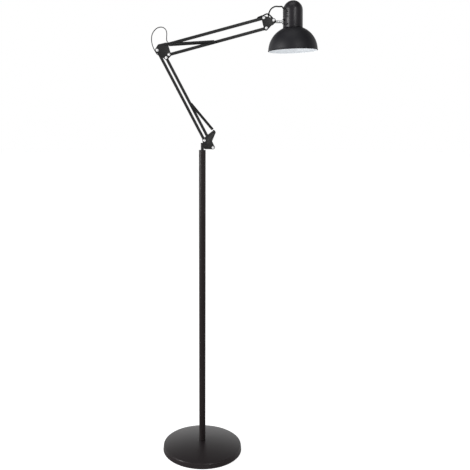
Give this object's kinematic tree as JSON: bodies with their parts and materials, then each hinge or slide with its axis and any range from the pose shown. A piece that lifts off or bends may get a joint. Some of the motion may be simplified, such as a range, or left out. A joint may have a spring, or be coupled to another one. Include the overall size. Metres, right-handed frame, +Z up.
{
  "type": "adjustable arm floor lamp",
  "caption": "Floor lamp with a round weighted base, slim pole, two spring-balanced parallelogram arms, and a domed shade that tilts and turns under a ribbed cap.",
  "frame": {"origin": "on the floor under the pole's axis, at the middle of the base's floor pad", "axes": "+Z up along the pole, +X towards the shade at rest, the arms move in the XZ plane, -Y towards the bolt heads"},
  "size_m": [0.5254, 0.279, 1.5146],
  "materials": {
    "black_paint": "satin black powder paint",
    "base_paint": "smooth satin black paint",
    "shade_paint": "satin charcoal paint outside, bright white inside",
    "cap_plastic": "black, half gloss, moulded",
    "black_plastic": "black moulded",
    "spring_steel": "blackened spring wire",
    "bright_fastener": "bright nickel plate",
    "chrome": "polished chrome",
    "cast_iron": "raw casting",
    "zinc": "zinc plate",
    "pad": "thin cellular rubber",
    "phenolic": "moulded",
    "brass": "bare brass",
    "flex": "black flexible cable sheath"
  },
  "bodies": {
    "stand": {"base_floor_pad": "pad", "base_weight": "cast_iron", "base_cover": "base_paint", "cable_gland": "flex", "foot_bolt": "zinc", "foot_washer": "zinc", "foot_plug": "zinc", "pole_lower_tube": "black_paint", "pole_joiner": "zinc", "pole_upper_tube": "black_paint", "pole_top_bush": "black_plastic"},
    "bracket": {"bracket_pin": "black_paint", "bracket_plate_front": "black_paint", "bracket_plate_back": "black_paint", "bracket_rivet": "black_paint", "bracket_spring_pin_front": "spring_steel", "bracket_spring_pin_back": "spring_steel", "lower_rear_pivot_bolt": "bright_fastener", "lower_rear_pivot_nut": "bright_fastener", "lower_front_pivot_bolt": "bright_fastener", "lower_front_pivot_nut": "bright_fastener"},
    "lower_rear_arm": {"lower_rear_bar": "black_paint"},
    "lower_front_arm": {"lower_front_bar": "black_paint", "lower_spring_pin": "spring_steel", "lower_spring_front": "spring_steel", "lower_spring_back": "spring_steel"},
    "elbow": {"elbow_plate_front": "black_paint", "elbow_plate_back": "black_paint", "elbow_top_pin": "spring_steel", "elbow_rear_pivot_bolt": "bright_fastener", "elbow_rear_pivot_nut": "bright_fastener", "elbow_front_pivot_bolt": "bright_fastener", "elbow_front_pivot_nut": "bright_fastener", "elbow_low_pivot_bolt": "bright_fastener", "elbow_low_pivot_nut": "bright_fastener", "elbow_cable": "flex"},
    "upper_low_arm": {"upper_low_bar": "black_paint", "upper_spring_pin": "spring_steel", "upper_spring_front": "spring_steel", "upper_spring_back": "spring_steel"},
    "upper_top_arm": {"upper_top_bar": "black_paint"},
    "head_bracket": {"head_plate_front": "black_paint", "head_plate_back": "black_paint", "head_top_pivot_bolt": "bright_fastener", "head_top_pivot_nut": "bright_fastener", "head_low_pivot_bolt": "bright_fastener", "head_low_pivot_nut": "bright_fastener", "tilt_bolt": "bright_fastener", "tilt_nut": "bright_fastener", "head_cable": "flex"},
    "tilt_arm": {"tilt_knuckle": "black_plastic", "stem": "chrome"},
    "head": {"swivel_collar": "chrome", "cap": "cap_plastic", "shade": "shade_paint", "lampholder": "phenolic", "shade_ring": "phenolic", "lampholder_contact": "brass", "cable_boot": "flex"}
  },
  "joints": [
    {"name": "arm_swivel", "type": "hinge", "parent": "stand", "child": "bracket", "pos_m": [0, 0, 1.02], "axis": [0, 0, 1], "range_deg": [-175, 175]},
    {"name": "lower_arm", "type": "hinge", "parent": "bracket", "child": "lower_rear_arm", "pos_m": [0.0068, 0, 1.083], "axis": [0, 1, 0], "range_deg": [-8, 60]},
    {"name": "lower_arm_front_bar", "type": "hinge", "parent": "bracket", "child": "lower_front_arm", "pos_m": [0.0348, 0, 1.0604], "axis": [0, 1, 0], "range_deg": [-8, 60], "deforming": ["lower_spring_front", "lower_spring_back"]},
    {"name": "elbow_link", "type": "hinge", "parent": "lower_rear_arm", "child": "elbow", "pos_m": [-0.142, 0, 1.36404], "axis": [0, -1, 0], "range_deg": [-8, 60], "deforming": ["elbow_cable"]},
    {"name": "upper_arm", "type": "hinge", "parent": "elbow", "child": "upper_top_arm", "pos_m": [-0.114, 0, 1.38144], "axis": [0, -1, 0], "range_deg": [-50, 40]},
    {"name": "upper_arm_low_bar", "type": "hinge", "parent": "elbow", "child": "upper_low_arm", "pos_m": [-0.1053, 0, 1.35104], "axis": [0, -1, 0], "range_deg": [-50, 40], "deforming": ["upper_spring_front", "upper_spring_back"]},
    {"name": "head_link", "type": "hinge", "parent": "upper_top_arm", "child": "head_bracket", "pos_m": [0.19165, 0, 1.46162], "axis": [0, 1, 0], "range_deg": [-50, 40], "deforming": ["head_cable"]},
    {"name": "head_tilt", "type": "hinge", "parent": "head_bracket", "child": "tilt_arm", "pos_m": [0.22306, 0, 1.45463], "axis": [0, -1, 0], "range_deg": [-20, 80]},
    {"name": "head_roll", "type": "hinge", "parent": "tilt_arm", "child": "head", "pos_m": [0.25195, 0, 1.45083], "axis": [1, 0, 0], "range_deg": [-60, 60]}
  ],
  "couplings": [
    {"joint": "lower_arm_front_bar", "follows": "lower_arm", "ratio": 1},
    {"joint": "elbow_link", "follows": "lower_arm", "ratio": 1},
    {"joint": "upper_arm_low_bar", "follows": "upper_arm", "ratio": 1},
    {"joint": "head_link", "follows": "upper_arm", "ratio": 1}
  ]
}
